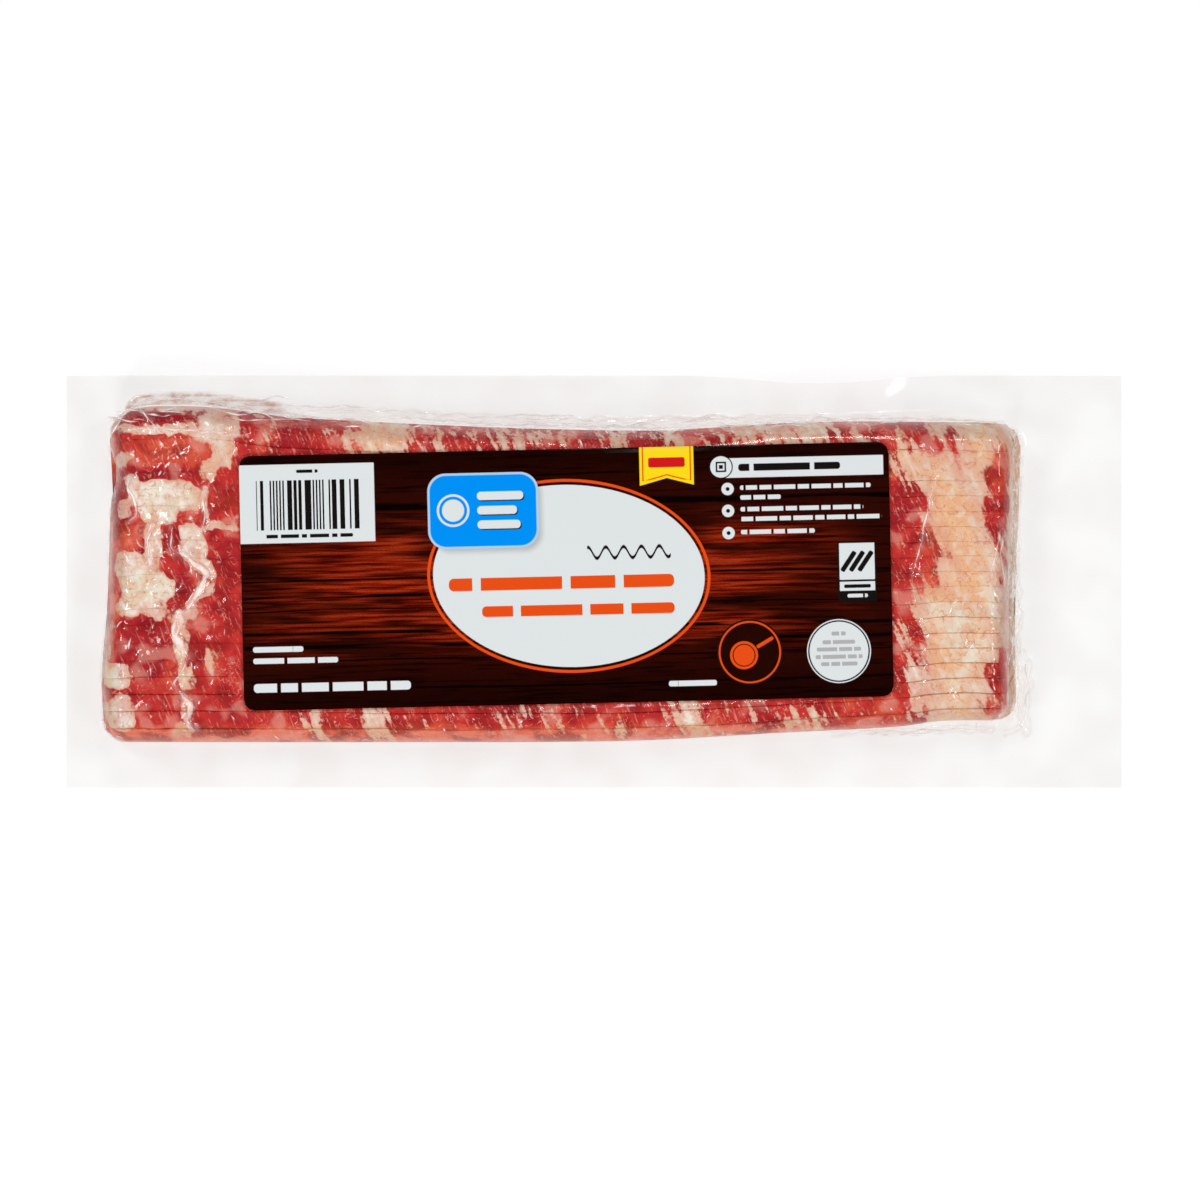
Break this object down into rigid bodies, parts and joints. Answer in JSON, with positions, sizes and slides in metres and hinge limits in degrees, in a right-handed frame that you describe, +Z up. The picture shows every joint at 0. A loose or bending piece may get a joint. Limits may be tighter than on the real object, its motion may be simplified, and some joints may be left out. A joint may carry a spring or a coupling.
{
  "type": "vacuum pack of sliced bacon",
  "caption": "Clear flat vacuum pouch drawn tight over a low block of shingled bacon slices, with a welded margin all round and a rectangular printed label on top.",
  "frame": {"origin": "on the table under the middle of the flat pouch", "axes": "+X runs along the slices towards the wide end of the margin, +Y towards the far long edge, +Z up out of the label"},
  "size_m": [0.33, 0.129, 0.0273],
  "materials": {
    "bacon": "moist red and cream meat seen through tight clear film",
    "clear_film": "clear glossy film, slightly milky where two layers are welded",
    "label": "satin printed film label"
  },
  "bodies": {
    "root": {"pouch": "bacon", "label": "label"}
  },
  "joints": []
}
